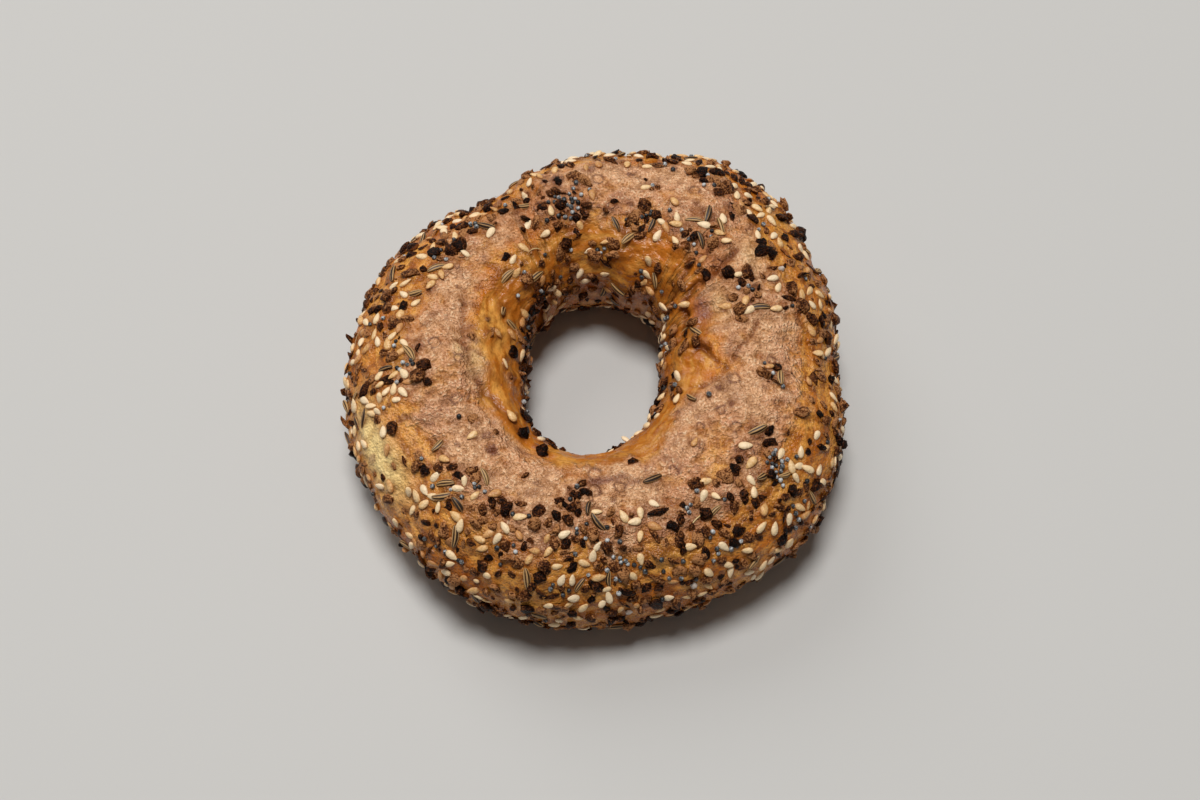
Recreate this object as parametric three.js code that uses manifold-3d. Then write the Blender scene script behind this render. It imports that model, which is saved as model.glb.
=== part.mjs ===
// An everything bagel: a hand-rolled ring of baked dough with its toppings fused into the crust.
// Millimetres, +Z up. The origin is under the middle of the bagel, on the face that it rests on.

import * as THREE from 'three';
import { ParametricGeometry } from 'three/addons/geometries/ParametricGeometry.js';
import { mergeVertices } from 'three/addons/utils/BufferGeometryUtils.js';
import Module from 'manifold-3d';

// The uneven ring, from +X towards +Y, about the middle of the rolled rope. Each row of stations
// goes once round: the radii every 15 degrees and the heights every 30.
const OUTER_RADII = [
  54.5, 57, 58.5, 63, 65.5, 60.5, 58.5, 56, 52, 56, 57, 57,
  58, 59.5, 58.5, 58.5, 60, 60.5, 58.5, 58.5, 59.5, 61, 61, 58,
];
const HOLE_RADII = [
  14.5, 16.5, 17.5, 20.5, 22, 22.5, 24, 23.5, 21, 20, 19, 17,
  17, 17.5, 20, 21, 22, 22, 22, 20.5, 20, 17.5, 16.5, 15.5,
];
const HEIGHTS = [34.5, 35, 35, 33.5, 32.5, 33, 34.5, 34, 33.5, 33.5, 34, 34.5];
const ROPE_MIDDLE = new THREE.Vector3(0.7, 0.2, 0);

// The rope's cross section. The underside is cut flat where it lay on the baking sheet.
const SHOULDER_ROUNDNESS = 0.9; // 1 is an ellipse, and less gives fuller shoulders
const WAIST_LEVEL = 0.47; // the widest level, as a share of the height
const CROWN_LEAN = 0.15; // how far the crown leans to the hole, as a share of half the rope's width

// Grid of the dough's skin, round the ring and round the rope.
const RING_STEPS = 76;
const ROPE_STEPS = 26;

// Gentle lumps left by rolling and proving: waves round the ring and round the rope.
const LUMPS = [
  { height: 0.5, ringWaves: 3, ropeWaves: 1, phase: 1.0 },
  { height: 0.4, ringWaves: 5, ropeWaves: -2, phase: 0.7 },
  { height: 0.3, ringWaves: 8, ropeWaves: 3, phase: 2.1 },
  { height: 0.2, ringWaves: 13, ropeWaves: 2, phase: 4.0 },
];

// Creases in the dough. Each stop is [degrees round the ring, degrees round the rope], where
// 0 degrees round the rope faces outwards, 90 is the crown and 180 faces the hole.
const CREASES = [
  { name: 'seam of the rope ends', stops: [[113, 66], [117, 100], [123, 170]], depth: 2.2, width: 2.8 },
  { name: 'first fold', stops: [[44, 96], [44, 124], [36, 174]], depth: 1.6, width: 2.6 },
  { name: 'second fold', stops: [[36, 100], [26, 138], [18, 165]], depth: 1.2, width: 2.4 },
  { name: 'stretched ledge', stops: [[166, 95], [200, 105], [226, 111], [248, 120]], depth: 1.0, width: 2.6 },
];
const CREASE_LIP = 0.35; // the dough pushed up beside a crease, as a share of its depth
const CREASE_LIP_REACH = 2.5; // how much wider than the crease that swelling is

// Toppings, largest first. Lengths in mm, and thickness and width as shares of the length.
const TOPPINGS = [
  { shape: flake, count: 96, length: [3.4, 5.8], width: [0.62, 0.85], thickness: [0.26, 0.32] },
  { shape: carawaySeed, count: 22, length: [4.2, 5.4], width: [0.26, 0.3], thickness: [0.24, 0.28] },
  { shape: sesameSeed, count: 58, length: [2.8, 3.4], width: [0.6, 0.66], thickness: [0.32, 0.38] },
];
const TOPPING_SEED = 27;
const TOPPING_GAP = 0.4; // least clearance between two toppings
const TOPPING_LIFT = 0.18; // a topping's middle above the crust, as a share of its thickness
const TOPPING_TILT = THREE.MathUtils.degToRad(9); // most that a topping tips out of the crust
const BARE_UNDERSIDE = 3.2; // no topping is pressed on lower than this

// Where the toppings stuck, as a share from 0 to 1. The crown stayed almost bare.
const CROWN_COVER = 0.1;
const OUTER_COVER = 1.0;
const HOLE_COVER = 0.75;
const HOLE_COVER_BARE = 0.16;
const OUTER_COVER_TOP = 76; // degrees round the rope where the outer cover thins out
const HOLE_COVER_TOP = 112; // degrees round the rope where the hole's cover begins
const COVER_FADE = 16; // degrees over which a cover thins out
const SEEDED_HOLE_FROM = 12; // the hole's wall is seeded between these degrees round the ring
const SEEDED_HOLE_TO = 128;

const CRUST_COLOUR = 0xb9793c;

const wasm = await Module();
wasm.setup();

// A value between the ring's stations, on a smooth closed curve through them.
function alongRing(stations, angle) {
  const place = THREE.MathUtils.euclideanModulo(angle / (2 * Math.PI), 1) * stations.length;
  const station = Math.floor(place);
  const t = place - station;
  const [a, b, c, d] = [-1, 0, 1, 2].map((step) =>
    stations[(station + step + stations.length) % stations.length]);
  return b + 0.5 * t * (c - a + t * (2 * a - 5 * b + 4 * c - d + t * (3 * (b - c) + d - a)));
}

// A cosine or sine with its middle filled out, for the rope's shoulders.
function fuller(value) {
  return Math.sign(value) * Math.abs(value) ** SHOULDER_ROUNDNESS;
}

// A point of the ring before it is lumped and creased, raised by swell out of the rope's middle.
function ropePoint(ringAngle, ropeAngle, swell, target) {
  const outer = alongRing(OUTER_RADII, ringAngle);
  const hole = alongRing(HOLE_RADII, ringAngle);
  const height = alongRing(HEIGHTS, ringAngle);
  const outwards = Math.cos(ropeAngle);
  const upwards = Math.sin(ropeAngle);
  const lean = CROWN_LEAN * Math.max(0, upwards) ** 2;
  const radius = (outer + hole) / 2 + ((outer - hole) / 2) * (fuller(outwards) - lean) + swell * outwards;
  const level = height * (WAIST_LEVEL + (1 - WAIST_LEVEL) * fuller(upwards)) + swell * upwards;
  target.set(radius * Math.cos(ringAngle), radius * Math.sin(ringAngle), Math.max(0, level));
  return target.add(ROPE_MIDDLE);
}

function lumps(ringAngle, ropeAngle) {
  return LUMPS.reduce((sum, { height, ringWaves, ropeWaves, phase }) =>
    sum + height * Math.sin(ringWaves * ringAngle + ropeWaves * ropeAngle + phase), 0);
}

// The stretches of one crease, laid on the ring.
function creaseLines({ stops }) {
  const points = stops.map(([ring, rope]) =>
    ropePoint(THREE.MathUtils.degToRad(ring), THREE.MathUtils.degToRad(rope), 0, new THREE.Vector3()));
  return points.slice(1).map((point, index) => new THREE.Line3(points[index], point));
}

const creases = CREASES.map((crease) => ({ ...crease, lines: creaseLines(crease) }));

// How far the creases lower the crust at a point, and their lips raise it.
function creasing(point) {
  const nearest = new THREE.Vector3();
  return creases.reduce((sum, { lines, depth, width }) => {
    const distance = Math.min(...lines.map((line) =>
      line.closestPointToPoint(point, true, nearest).distanceTo(point)));
    const groove = Math.exp(-((distance / width) ** 2));
    const lip = CREASE_LIP * Math.exp(-((distance / (CREASE_LIP_REACH * width)) ** 2));
    return sum + depth * (lip - groove);
  }, 0);
}

function crustPoint(aroundRing, aroundRope, target) {
  const ringAngle = 2 * Math.PI * aroundRing;
  const ropeAngle = 2 * Math.PI * aroundRope;
  ropePoint(ringAngle, ropeAngle, 0, target);
  const swell = lumps(ringAngle, ropeAngle) + creasing(target);
  return ropePoint(ringAngle, ropeAngle, swell, target);
}

// A geometry with its shared corners merged, so that it is one closed skin.
function closedSkin(geometry) {
  geometry.deleteAttribute('normal');
  geometry.deleteAttribute('uv');
  return mergeVertices(geometry);
}

function doughRing() {
  return closedSkin(new ParametricGeometry(crustPoint, RING_STEPS, ROPE_STEPS));
}

// How thickly the toppings stuck here, from 0 to 1.
function cover(aroundRing, aroundRope) {
  const ring = 360 * aroundRing;
  const rope = aroundRope > 0.75 ? 360 * (aroundRope - 1) : 360 * aroundRope;
  const outside = 1 - THREE.MathUtils.smoothstep(rope, OUTER_COVER_TOP - COVER_FADE, OUTER_COVER_TOP + COVER_FADE);
  const inside = THREE.MathUtils.smoothstep(rope, HOLE_COVER_TOP - COVER_FADE, HOLE_COVER_TOP + COVER_FADE);
  const seeded = ring > SEEDED_HOLE_FROM && ring < SEEDED_HOLE_TO;
  return Math.max(CROWN_COVER, OUTER_COVER * outside, (seeded ? HOLE_COVER : HOLE_COVER_BARE) * inside);
}

// A piece of toasted onion or garlic: a thin plate with five uneven corners.
function flake(random) {
  const sides = 5;
  const plate = closedSkin(new THREE.CylinderGeometry(0.42, 0.5, 1, sides));
  const reach = Array.from({ length: sides }, () => random(0.75, 1.1));
  const corner = plate.getAttribute('position');
  for (let index = 0; index < corner.count; index += 1) {
    const angle = Math.atan2(corner.getX(index), corner.getZ(index));
    const side = (Math.round((angle / (2 * Math.PI)) * sides) + sides) % sides;
    corner.setXYZ(index, corner.getX(index) * reach[side], corner.getY(index), corner.getZ(index) * reach[side]);
  }
  return plate.rotateX(Math.PI / 2);
}

// A teardrop: round at one end and pointed at the other.
function sesameSeed() {
  return spindle(0.28);
}

function carawaySeed() {
  return spindle(0.05);
}

// A seed one long along X and one wide, narrowed towards +X by the taper.
function spindle(taper) {
  const seed = closedSkin(new THREE.SphereGeometry(0.5, 5, 3)).rotateZ(-Math.PI / 2);
  const corner = seed.getAttribute('position');
  for (let index = 0; index < corner.count; index += 1) {
    const girth = 1 - 2 * taper * corner.getX(index);
    corner.setXYZ(index, corner.getX(index), corner.getY(index) * girth, corner.getZ(index) * girth);
  }
  return seed;
}

// Lays a topping of the given size on the crust at a hit, turned about the crust's normal.
function layOn(geometry, hit, size, turn, tilt) {
  const up = hit.face.normal;
  const across = new THREE.Vector3(0, 0, 1).cross(up).normalize();
  const frame = new THREE.Matrix4().makeBasis(across, up.clone().cross(across), up);
  const place = hit.point.clone().addScaledVector(up, TOPPING_LIFT * size.z);
  return geometry
    .scale(size.x, size.y, size.z)
    .rotateY(tilt)
    .rotateZ(turn)
    .applyMatrix4(frame)
    .translate(place.x, place.y, place.z);
}

// The crust's facet at a place on the ring, found by looking in from outside.
function crustFacet(crust, aroundRing, aroundRope) {
  const inside = ropePoint(2 * Math.PI * aroundRing, 2 * Math.PI * aroundRope, -8, new THREE.Vector3());
  const outside = ropePoint(2 * Math.PI * aroundRing, 2 * Math.PI * aroundRope, 8, new THREE.Vector3());
  const inwards = inside.sub(outside).normalize();
  return new THREE.Raycaster(outside, inwards).intersectObject(crust)[0];
}

// All toppings, strewn by a seeded draw: thickest where the cover is, and never touching.
function toppings(crust) {
  THREE.MathUtils.seededRandom(TOPPING_SEED);
  const random = (from, to) => THREE.MathUtils.lerp(from, to, THREE.MathUtils.seededRandom());
  const laid = [];
  for (const { shape, count, length, width, thickness } of TOPPINGS) {
    const wanted = laid.length + count;
    while (laid.length < wanted) {
      const aroundRing = random(0, 1);
      const aroundRope = random(0, 1);
      const chance = random(0, 1);
      const long = random(...length);
      const hit = chance < cover(aroundRing, aroundRope) && crustFacet(crust, aroundRing, aroundRope);
      const free = hit && hit.point.z > BARE_UNDERSIDE && laid.every(({ point, reach }) =>
        point.distanceTo(hit.point) > reach + long / 2 + TOPPING_GAP);
      if (free) {
        const size = new THREE.Vector3(long, long * random(...width), long * random(...thickness));
        const turn = random(0, 2 * Math.PI);
        const tilt = random(-TOPPING_TILT, TOPPING_TILT);
        laid.push({ point: hit.point, reach: long / 2, geometry: layOn(shape(random), hit, size, turn, tilt) });
      }
    }
  }
  return laid.map(({ geometry }) => geometry);
}

function toSolid(geometry) {
  const vertProperties = Float32Array.from(geometry.getAttribute('position').array);
  const triVerts = Uint32Array.from(geometry.getIndex().array);
  return new wasm.Manifold(new wasm.Mesh({ numProp: 3, vertProperties, triVerts }));
}

function toGeometry(solid) {
  const { vertProperties, triVerts } = solid.getMesh();
  const geometry = new THREE.BufferGeometry();
  geometry.setAttribute('position', new THREE.BufferAttribute(vertProperties, 3));
  geometry.setIndex(new THREE.BufferAttribute(triVerts, 1));
  return geometry;
}

function bagel() {
  const dough = doughRing();
  const crust = new THREE.Mesh(dough, new THREE.MeshBasicMaterial());
  const seeded = toppings(crust).reduce((solid, topping) => solid.add(toSolid(topping)), toSolid(dough));
  const geometry = toGeometry(seeded);
  geometry.computeVertexNormals();
  const material = new THREE.MeshStandardMaterial({ color: CRUST_COLOUR, roughness: 0.55, metalness: 0 });
  const mesh = new THREE.Mesh(geometry, material);
  mesh.name = 'bagel';
  return mesh;
}

const model = new THREE.Group();
model.add(bagel());

export default model;
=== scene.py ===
import functools
import itertools
import math
import random

import bmesh
import bpy
import numpy as np
from mathutils import Matrix, Vector, kdtree, noise


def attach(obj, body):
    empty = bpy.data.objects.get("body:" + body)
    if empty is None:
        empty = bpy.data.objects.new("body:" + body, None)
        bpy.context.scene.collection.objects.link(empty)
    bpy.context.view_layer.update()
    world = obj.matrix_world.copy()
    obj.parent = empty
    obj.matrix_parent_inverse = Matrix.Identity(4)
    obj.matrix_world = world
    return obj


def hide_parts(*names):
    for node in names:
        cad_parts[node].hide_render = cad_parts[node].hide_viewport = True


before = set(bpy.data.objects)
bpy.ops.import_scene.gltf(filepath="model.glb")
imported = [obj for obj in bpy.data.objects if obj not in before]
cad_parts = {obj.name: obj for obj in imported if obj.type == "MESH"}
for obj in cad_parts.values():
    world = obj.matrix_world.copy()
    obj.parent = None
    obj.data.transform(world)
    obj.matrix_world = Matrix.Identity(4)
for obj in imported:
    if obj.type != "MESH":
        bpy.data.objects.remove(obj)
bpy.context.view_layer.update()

bl_info = {
    "name": "Everything Bagel",
    "version": (1, 0, 0),
    "blender": (4, 5, 0),
    "location": "View3D > Sidebar > Bagel",
    "description": "Builds a hand-rolled everything bagel with its seeds and toasted flakes",
    "category": "Add Mesh",
}

MM = 0.001
DRY_IOR = 1.45  # of dried starch and seeds
CHARRED_IOR = 1.2  # of burnt onion, which is full of air
ROOT_BODY = "root"
CAD_NODE = "bagel"

# The uneven ring in mm, from +X towards +Y, about the middle of the rolled rope. Each row of
# stations goes once round: the radii every 15 degrees and the heights every 30.
OUTER_RADII = (54.5, 57, 58.5, 63, 65.5, 60.5, 58.5, 56, 52, 56, 57, 57,
               58, 59.5, 58.5, 58.5, 60, 60.5, 58.5, 58.5, 59.5, 61, 61, 58)
HOLE_RADII = (14.5, 16.5, 17.5, 20.5, 22, 22.5, 24, 23.5, 21, 20, 19, 17,
              17, 17.5, 20, 21, 22, 22, 22, 20.5, 20, 17.5, 16.5, 15.5)
HEIGHTS = (34.5, 35, 35, 33.5, 32.5, 33, 34.5, 34, 33.5, 33.5, 34, 34.5)
ROPE_MIDDLE = (0.7, 0.2, 0.0)
SHOULDER_ROUNDNESS = 0.9
WAIST_LEVEL = 0.47
CROWN_LEAN = 0.15
RING_RADIUS = 39.0  # from the middle of the hole to the middle of the rope
ROPE_RADIUS = 18.5

# Gentle lumps: height in mm, waves round the ring, waves round the rope, phase.
LUMPS = ((0.5, 3, 1, 1.0), (0.4, 5, -2, 0.7), (0.3, 8, 3, 2.1), (0.2, 13, 2, 4.0))

# Creases: stops of (degrees round the ring, degrees round the rope), depth in mm, half width in mm.
# 0 degrees round the rope faces outwards, 90 is the crown and 180 faces the hole.
CREASES = (
    (((113, 66), (117, 100), (123, 170)), 2.2, 2.8),
    (((44, 96), (44, 124), (36, 174)), 1.6, 2.6),
    (((36, 100), (26, 138), (18, 165)), 1.2, 2.4),
    (((166, 95), (200, 105), (226, 111), (248, 120)), 1.0, 2.6),
)
FOLDS = CREASES[:3]  # the seam and the two folds, but not the ledge
CREASE_LIP = 0.35  # a share of the crease's depth
CREASE_LIP_REACH = 2.5  # a share of the crease's half width
# Finer lines in the skin, in the same way: in the folds, at the stretched ledge and on the crown.
FINE_LINES = (
    (((45, 112), (42, 131), (38, 158)), 0.8, 0.7),
    (((30, 128), (20, 139), (5, 152)), 0.7, 0.7),
    (((37, 82), (34, 91), (33, 100), (35, 117), (33, 129), (26, 136)), 0.9, 0.8),
    (((325, 142), (334, 115), (342, 101), (358, 88), (8, 79)), 0.6, 0.6),
    (((3, 128), (359, 121), (355, 112), (350, 104)), 0.8, 0.7),
    (((5, 119), (358, 113), (353, 107)), 0.6, 0.6),
    (((352, 124), (355, 118), (3, 112)), 0.5, 0.6),
    (((160, 94), (175, 99), (190, 105), (205, 115), (220, 124), (234, 128)), 0.55, 0.9),
    (((179, 98), (183, 106), (186, 112)), 0.6, 0.6),
    (((196, 103), (199, 108), (210, 112)), 0.35, 0.6),
    (((266, 97), (272, 100), (278, 98), (283, 94)), 0.3, 0.8),
    (((154, 60), (160, 74)), 0.3, 0.7),
)
LINE_WAVER = (0.8, 3.5)  # mm that the fine lines stray, and the size of their bends

# The matte crown, in degrees round the rope: its outer edge every 30 degrees round the ring, and its
# edge towards the hole every 15.
MATTE_FROM = (48, 62, 50, 48, 60, 68, 68, 64, 56, 50, 51, 60)
MATTE_TO = (102, 111, 114, 108, 108, 106, 106, 101, 96, 97, 98, 106,
            114, 116, 114, 116, 116, 117, 118, 118, 120, 126, 122, 98)
MATTE_FADE = 15
# The smooth inner side left of the hole: the degrees over which it sets in and over which it ends,
# round the rope and round the ring.
HOLE_SIDE_ROPE = ((98, 110), (150, 165))
HOLE_SIDE_RING = ((120, 130), (235, 265))

UNDERSIDE_LIFT = 0.25  # mm that the bare underside clears the table, where pressed seeds touch it

# Fine relief: height in mm and size of its features in mm.
UNEVENNESS = (0.3, 9.0)
CROWN_PEBBLE = (0.24, 2.1)
SIDE_RIPPLE = (0.5, 3.0)
FOLD_WRINKLES = (0.42, 2.2)
FOLD_WRINKLE_LENGTH = 9.0
HOLE_WRINKLES = (0.2, 2.0)
HOLE_WRINKLE_LENGTH = 10.0
NOISE_FALLOFF, NOISE_STEP, NOISE_OCTAVES = 0.9, 2.1, 2
FAINTEST = 0.02  # wrinkles weaker than this share are left out
FOLD_REACH = 7.5  # mm from a crease to where its wrinkles fade

CRUST_INSET = 0.3  # mm that the bare crust lies deeper, because it swells round its toppings
CROWDING = 0.35  # how much closer the steps round the rope lie on the crown, and wider underneath
FRAME_STEP = 0.012  # radians round the ring and the rope over which the crust's slope is taken


def linear(hex_colour):
    """An sRGB hex colour as linear red, green and blue."""
    channels = (int(hex_colour[i:i + 2], 16) / 255 for i in (1, 3, 5))
    return tuple(c / 12.92 if c <= 0.04045 else ((c + 0.055) / 1.055) ** 2.4 for c in channels)


def smoothstep(low, high, value):
    """A smooth rise from 0 where the value is low to 1 where it is high."""
    share = np.clip((value - low) / (high - low), 0, 1)
    return share * share * (3 - 2 * share)


def band(value, rise, fall):
    """1 between the rise and the fall, each a pair of values over which the band fades, and 0 outside."""
    return smoothstep(*rise, value) * (1 - smoothstep(*fall, value))


# ---- the dough's shape, in mm --------------------------------------------------------------------

def along_ring(stations, ring):
    """A value between the ring's stations, on a smooth closed curve through them."""
    values = np.asarray(stations, float)
    place = np.mod(ring / math.tau, 1) * len(values)
    station = np.floor(place).astype(int)
    way = place - station
    before, here, after, beyond = (values[(station + step) % len(values)] for step in (-1, 0, 1, 2))
    bend = 2 * before - 5 * here + 4 * after - beyond
    twist = 3 * (here - after) + beyond - before
    return here + 0.5 * way * (after - before + way * (bend + way * twist))


def fuller(value):
    """A cosine or sine with its middle filled out, for the rope's shoulders."""
    return np.sign(value) * np.abs(value) ** SHOULDER_ROUNDNESS


def rope_point(ring, rope, swell=0.0):
    """Points of the ring, raised by swell out of the rope's middle."""
    outer = along_ring(OUTER_RADII, ring)
    hole = along_ring(HOLE_RADII, ring)
    outwards, upwards = np.cos(rope), np.sin(rope)
    lean = CROWN_LEAN * np.maximum(0, upwards) ** 2
    radius = (outer + hole) / 2 + (outer - hole) / 2 * (fuller(outwards) - lean) + swell * outwards
    share_of_height = WAIST_LEVEL + (1 - WAIST_LEVEL) * fuller(upwards)
    level = along_ring(HEIGHTS, ring) * share_of_height + swell * upwards
    level = np.maximum(UNDERSIDE_LIFT, level)
    return np.stack([radius * np.cos(ring), radius * np.sin(ring), level], -1) + ROPE_MIDDLE


def lumps(ring, rope):
    """How far the gentle lumps raise or lower the crust."""
    return sum(height * np.sin(ring_waves * ring + rope_waves * rope + phase)
               for height, ring_waves, rope_waves, phase in LUMPS)


def distance_to_line(points, stops):
    """Distance from each point to the chain of straight stretches between the stops."""
    chain = rope_point(*np.radians(np.asarray(stops, float)).T)
    nearest = np.full(len(points), np.inf)
    for start, end in zip(chain, chain[1:]):
        along = end - start
        way = np.clip((points - start) @ along / (along @ along), 0, 1)
        nearest = np.minimum(nearest, np.linalg.norm(points - start - way[:, None] * along, axis=1))
    return nearest


def creasing(points):
    """How far the creases lower the crust at each point, and their lips raise it."""
    swell = np.zeros(len(points))
    for stops, depth, width in CREASES:
        distance = distance_to_line(points, stops)
        groove = np.exp(-(distance / width) ** 2)
        lip = CREASE_LIP * np.exp(-(distance / (CREASE_LIP_REACH * width)) ** 2)
        swell += depth * (lip - groove)
    return swell


def line_depths(points):
    """How deep the fine lines lie at each point in mm."""
    stray, size = LINE_WAVER
    wavering = points + stray * np.stack([noise_at(points / size + shift) for shift in (0, 20, 40)], -1)
    return sum(depth * np.exp(-(distance_to_line(wavering, stops) / width) ** 2)
               for stops, depth, width in FINE_LINES)


def noise_at(points):
    """Fractal noise of about -1 to 1 at each point, with features about one unit across."""
    return np.array([noise.fractal(Vector(point), NOISE_FALLOFF, NOISE_STEP, NOISE_OCTAVES)
                     for point in points])


def degrees_round_rope(rope):
    """Degrees round the rope, counted from -90 underneath to 270."""
    return np.degrees(np.mod(rope + math.pi / 2, math.tau)) - 90


def matte_share(ring, rope):
    """How matte the crust is, from 0 on the glossy sides to 1 on the crown."""
    low, high = along_ring(MATTE_FROM, ring), along_ring(MATTE_TO, ring)
    return band(degrees_round_rope(rope), (low - MATTE_FADE, low + MATTE_FADE),
                (high - MATTE_FADE, high + MATTE_FADE))


def pulled_share(points):
    """How much the skin is pulled into wrinkles, from 1 in the folds to 0 away from them."""
    nearest = np.minimum.reduce([distance_to_line(points, stops) for stops, _, _ in FOLDS])
    return np.exp(-(nearest / FOLD_REACH) ** 2)


def hole_side_share(ring, rope):
    """1 on the smooth inner side left of the hole, where the skin is stretched along the ring."""
    return (band(degrees_round_rope(rope), *HOLE_SIDE_ROPE)
            * band(np.degrees(np.mod(ring, math.tau)), *HOLE_SIDE_RING))


def wrinkles(ring, rope, along, across):
    """Noise stretched along or across the rope, with features of the given lengths in mm."""
    way = np.stack([RING_RADIUS * ring / along, ROPE_RADIUS * rope / across, np.zeros_like(ring)], -1)
    return noise_at(way)


def crust_point(ring, rope, raised=0.0):
    """Points of the finished crust, with its lumps, creases and fine relief."""
    bare = rope_point(ring, rope)
    matte = matte_share(ring, rope)
    swell = lumps(ring, rope) + creasing(bare) + raised - CRUST_INSET
    for (height, size), share in ((UNEVENNESS, 1), (CROWN_PEBBLE, matte), (SIDE_RIPPLE, 1 - matte)):
        swell += height * share * noise_at(bare / size)
    for (height, width), length, share, across in (
            (FOLD_WRINKLES, FOLD_WRINKLE_LENGTH, pulled_share(bare), True),
            (HOLE_WRINKLES, HOLE_WRINKLE_LENGTH, hole_side_share(ring, rope), False)):
        wrinkled = np.flatnonzero(share > FAINTEST)
        sizes = (width, length) if across else (length, width)
        swell[wrinkled] += height * share[wrinkled] * wrinkles(
            np.mod(ring, math.tau)[wrinkled], rope[wrinkled], *sizes)
    return rope_point(ring, rope, swell)


def crust_frames(ring, rope):
    """Points of the crust with their outward normals, for laying toppings on it."""
    point = crust_point(ring, rope)
    along = crust_point(ring + FRAME_STEP, rope) - crust_point(ring - FRAME_STEP, rope)
    across = crust_point(ring, rope + FRAME_STEP) - crust_point(ring, rope - FRAME_STEP)
    normal = np.cross(along, across)
    normal /= np.linalg.norm(normal, axis=1)[:, None]
    return point, normal


# ---- settings ------------------------------------------------------------------------------------

def colour_setting(name, description, colour):
    """A colour that can be changed, from its sRGB hex."""
    return bpy.props.FloatVectorProperty(
        name=name, description=description, subtype="COLOR", size=3, min=0, max=1,
        default=linear(colour))


def length_setting(name, description, default):
    """A topping's length in metres that can be changed."""
    return bpy.props.FloatProperty(
        name=name, description=description, unit="LENGTH", default=default, min=0.0005)


class BagelCrustSettings(bpy.types.PropertyGroup):
    ring_steps: bpy.props.IntProperty(
        name="Ring Steps", description="Faces round the ring", default=512, min=48)
    rope_steps: bpy.props.IntProperty(
        name="Rope Steps", description="Faces round the rope", default=194, min=24)
    crown_tan: colour_setting("Crown Tan", "The matte crown where it is palest", "#EAB688")
    crown_rose: colour_setting("Crown Rose", "The matte crown where it is reddest", "#DDA17B")
    side_honey: colour_setting("Side Honey", "The glossy sides where they are palest", "#EAA74E")
    side_amber: colour_setting("Side Amber", "The glossy sides where they are darkest", "#C4701C")
    # Browning underneath, and painted shade on the hole's wall, in the creases and in the sides' pits and
    # hollows.
    deep_brown: colour_setting(
        "Deep Brown", "The hole's wall, the creases and the underside's rim", "#9C540F")
    # Painted shade in the crown's fine grooves and in the pits of its grain.
    groove: colour_setting("Groove", "Fine grooves in the matte crown", "#9E6238")
    # Painted glints: light flecks on the rises of the crown's grain.
    painted_glint: colour_setting("Glint", "Dry flecks on the matte crown", "#F3D0A8")
    # Browning with painted contact shade round the toppings, and painted shade in the fold's furrows.
    contact: colour_setting("Contact", "Crust that browned deeper against a topping", "#7A3B0B")
    pale_dough: colour_setting("Pale Dough", "The underbaked patch on one side", "#FFDD95")
    bruise: colour_setting("Bruise", "The purplish blister in a fold", "#70424A")
    scorch: colour_setting("Scorch", "Reddish brown rings and specks of scorched blisters", "#7A4433")


class BagelToppingSettings(bpy.types.PropertyGroup):
    draw: bpy.props.IntProperty(
        name="Draw", description="Seed of the random draw that strews the toppings", default=27)
    flake_length: length_setting("Flake Length", "Typical length of a toasted flake", 0.0028)
    sesame_length: length_setting("Sesame Length", "Length of a sesame seed", 0.003)
    caraway_length: length_setting("Caraway Length", "Length of a caraway seed", 0.0045)
    salt_length: length_setting("Salt Length", "Breadth of a salt crystal", 0.0021)
    thread_length: length_setting("Thread Length", "Length of a thread of onion skin", 0.0048)
    poppy_length: length_setting("Poppy Length", "Breadth of a poppy seed", 0.00108)


class BagelStageSettings(bpy.types.PropertyGroup):
    camera_elevation: bpy.props.FloatProperty(
        name="Camera Elevation", description="How steeply the camera looks down",
        subtype="ANGLE", default=math.radians(62))
    camera_distance: bpy.props.FloatProperty(
        name="Camera Distance", description="From the camera to the bagel's middle",
        unit="LENGTH", default=0.4651)
    lens: bpy.props.FloatProperty(
        name="Lens", description="Focal length in mm on a 36 mm sensor", default=60.0)
    key_power: bpy.props.FloatProperty(
        name="Key Power", description="Power of the soft key light", unit="POWER", default=46.0)
    window_power: bpy.props.FloatProperty(
        name="Window Power", description="Power of the broad light behind", unit="POWER", default=17.0)
    sky_strength: bpy.props.FloatProperty(
        name="Sky Strength", description="Strength of the even light all round", default=0.1)
    floor_colour: colour_setting("Floor Colour", "The plain pale floor", "#CAC8C4")


# ---- helpers for meshes and materials ------------------------------------------------------------

def add_node(tree, kind, inputs=None, **settings):
    """Adds a node with its settings, and sets or links each input named in inputs.

    Inputs that share a name are given by number. A Mix node has its factor at 0, two numbers at 2
    and 3 with their result at 0, and two colours at 6 and 7 with their result at 2.
    """
    node = tree.nodes.new(kind)
    for name, value in settings.items():
        setattr(node, name, value)
    for name, value in (inputs or {}).items():
        if isinstance(value, bpy.types.NodeSocket):
            tree.links.new(value, node.inputs[name])
        else:
            node.inputs[name].default_value = value
    return node


def new_material(name):
    """An empty node material with its output, and its tree."""
    material = bpy.data.materials.new(name)
    material.use_nodes = True
    material.node_tree.nodes.clear()
    return material, material.node_tree


def finish_material(tree, shader):
    """Shows the shader on the material's surface."""
    add_node(tree, "ShaderNodeOutputMaterial", {"Surface": shader.outputs["BSDF"]})


def rgba(colour):
    """A linear colour with full opacity."""
    return (*colour, 1.0)


def set_ramp(ramp, stops):
    """Gives a colour ramp its stops of (position, linear colour)."""
    elements = ramp.color_ramp.elements
    while len(elements) < len(stops):
        elements.new(1.0)
    for element, (position, colour) in zip(elements, stops):
        element.position = position
        element.color = rgba(colour)


def add_piece(name, mesh, material):
    """Shows a mesh as a piece that stands for part of the bagel and rides with it."""
    piece = bpy.data.objects.new(name, mesh)
    bpy.context.scene.collection.objects.link(piece)
    piece.data.materials.append(material)
    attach(piece, ROOT_BODY)
    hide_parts(CAD_NODE)
    return piece


def store(mesh, name, values):
    """Keeps one number for each vertex under the given name, for the material."""
    attribute = mesh.attributes.new(name, "FLOAT", "POINT")
    attribute.data.foreach_set("value", np.asarray(values, np.float32))


# ---- where the toppings lie ----------------------------------------------------------------------

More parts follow.
